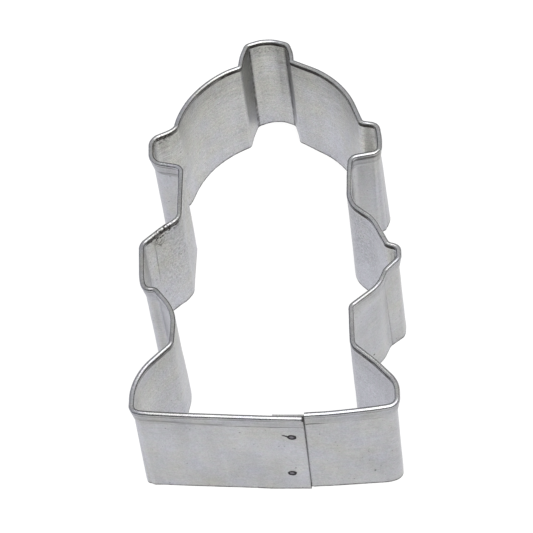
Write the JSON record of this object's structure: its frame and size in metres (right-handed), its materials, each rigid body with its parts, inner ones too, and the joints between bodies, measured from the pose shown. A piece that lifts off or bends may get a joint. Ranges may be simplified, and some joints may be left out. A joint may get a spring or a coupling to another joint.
{
  "type": "cookie cutter",
  "caption": "Open cookie cutter in a street hydrant's outline, bent from one tinplate strip with a rolled upper edge and a spot-welded lap.",
  "frame": {"origin": "middle of the outline's box, on the plane of the cutting edge", "axes": "+Z from the cutting edge up to the rolled rim, +Y from the foot up to the cap nut, +X to the right seen from above the rim"},
  "size_m": [0.044, 0.0826, 0.0222],
  "materials": {
    "tinplate": "dull satin tin coat with soft mottling",
    "weld_metal": "burnt grey, slightly dished"
  },
  "bodies": {
    "root": {"cutting_wall": "tinplate", "rolled_rim": "tinplate", "lap_tab": "tinplate", "weld_upper": "weld_metal", "weld_lower": "weld_metal"}
  },
  "joints": []
}
